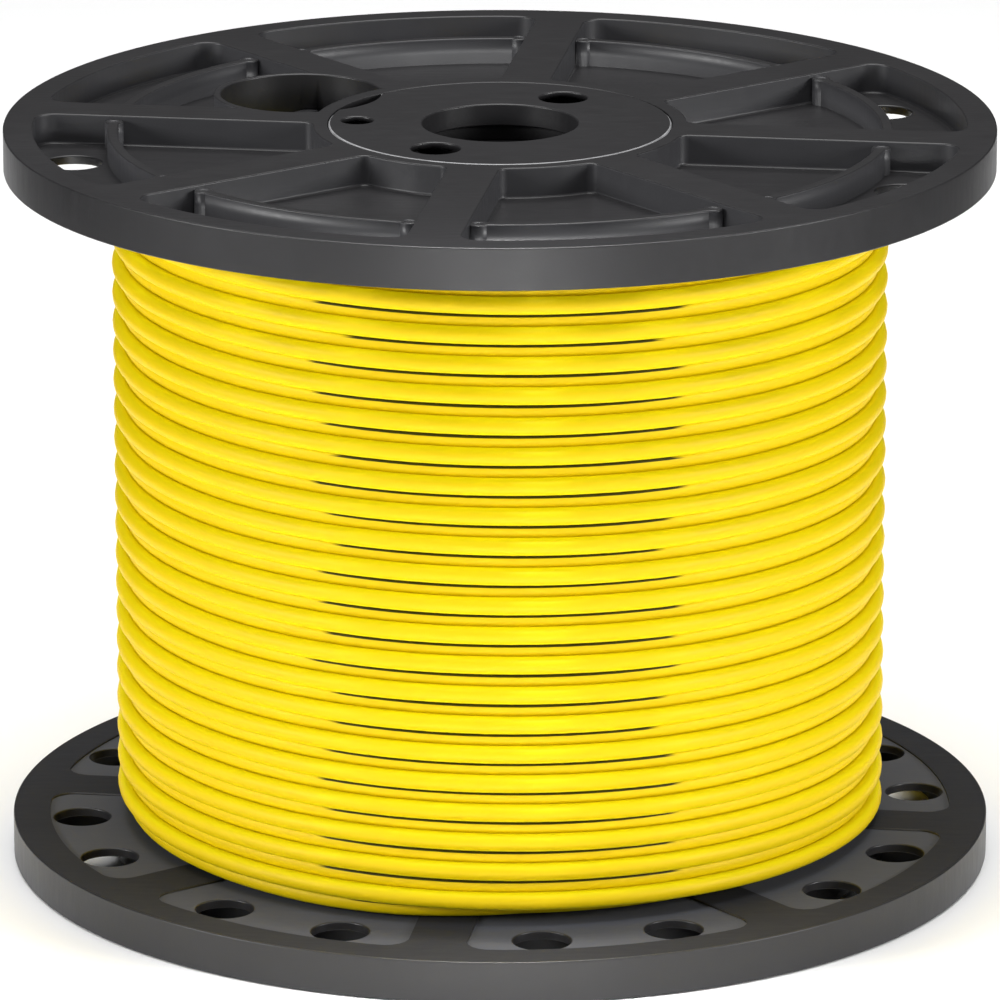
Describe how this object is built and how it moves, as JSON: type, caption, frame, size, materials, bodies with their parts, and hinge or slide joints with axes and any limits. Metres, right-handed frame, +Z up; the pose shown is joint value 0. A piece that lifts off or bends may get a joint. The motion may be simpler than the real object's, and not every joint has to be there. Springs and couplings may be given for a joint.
{
  "type": "wire spool",
  "caption": "Moulded plastic reel with spoked flanges on a hollow barrel, clamped by tie bolts and wound full with insulated building wire.",
  "frame": {"origin": "centre of the reel's footprint on the floor, on the reel's axis", "axes": "+Z up along the reel's axis, -Y to the front, +X to the right"},
  "size_m": [0.3048, 0.3048, 0.2324],
  "materials": {
    "reel_plastic": "black moulded polystyrene, satin, with a fine grain",
    "barrel_plastic": "black extruded plastic tube, plain",
    "zinc_steel": "zinc plated",
    "wire_insulation": "yellow PVC under a thin clear nylon skin, glossy",
    "copper": "bare stranded copper, freshly cut"
  },
  "bodies": {
    "root": {"top_flange": "reel_plastic", "bottom_flange": "reel_plastic", "top_hub_plate": "reel_plastic", "bottom_hub_plate": "reel_plastic", "barrel": "barrel_plastic", "arbor_tube": "barrel_plastic", "tie_bolt_1": "zinc_steel", "tie_bolt_2": "zinc_steel", "tie_bolt_3": "zinc_steel", "tie_bolt_4": "zinc_steel", "tie_nut_1": "zinc_steel", "tie_nut_2": "zinc_steel", "tie_nut_3": "zinc_steel", "tie_nut_4": "zinc_steel", "head_washer_1": "zinc_steel", "head_washer_2": "zinc_steel", "head_washer_3": "zinc_steel", "head_washer_4": "zinc_steel", "nut_washer_1": "zinc_steel", "nut_washer_2": "zinc_steel", "nut_washer_3": "zinc_steel", "nut_washer_4": "zinc_steel", "wire_inner_layers": "wire_insulation", "wire_outer_layer": "wire_insulation", "wire_start_end": "wire_insulation", "wire_start_core": "copper", "wire_outer_end": "wire_insulation", "wire_outer_core": "copper"}
  },
  "joints": []
}
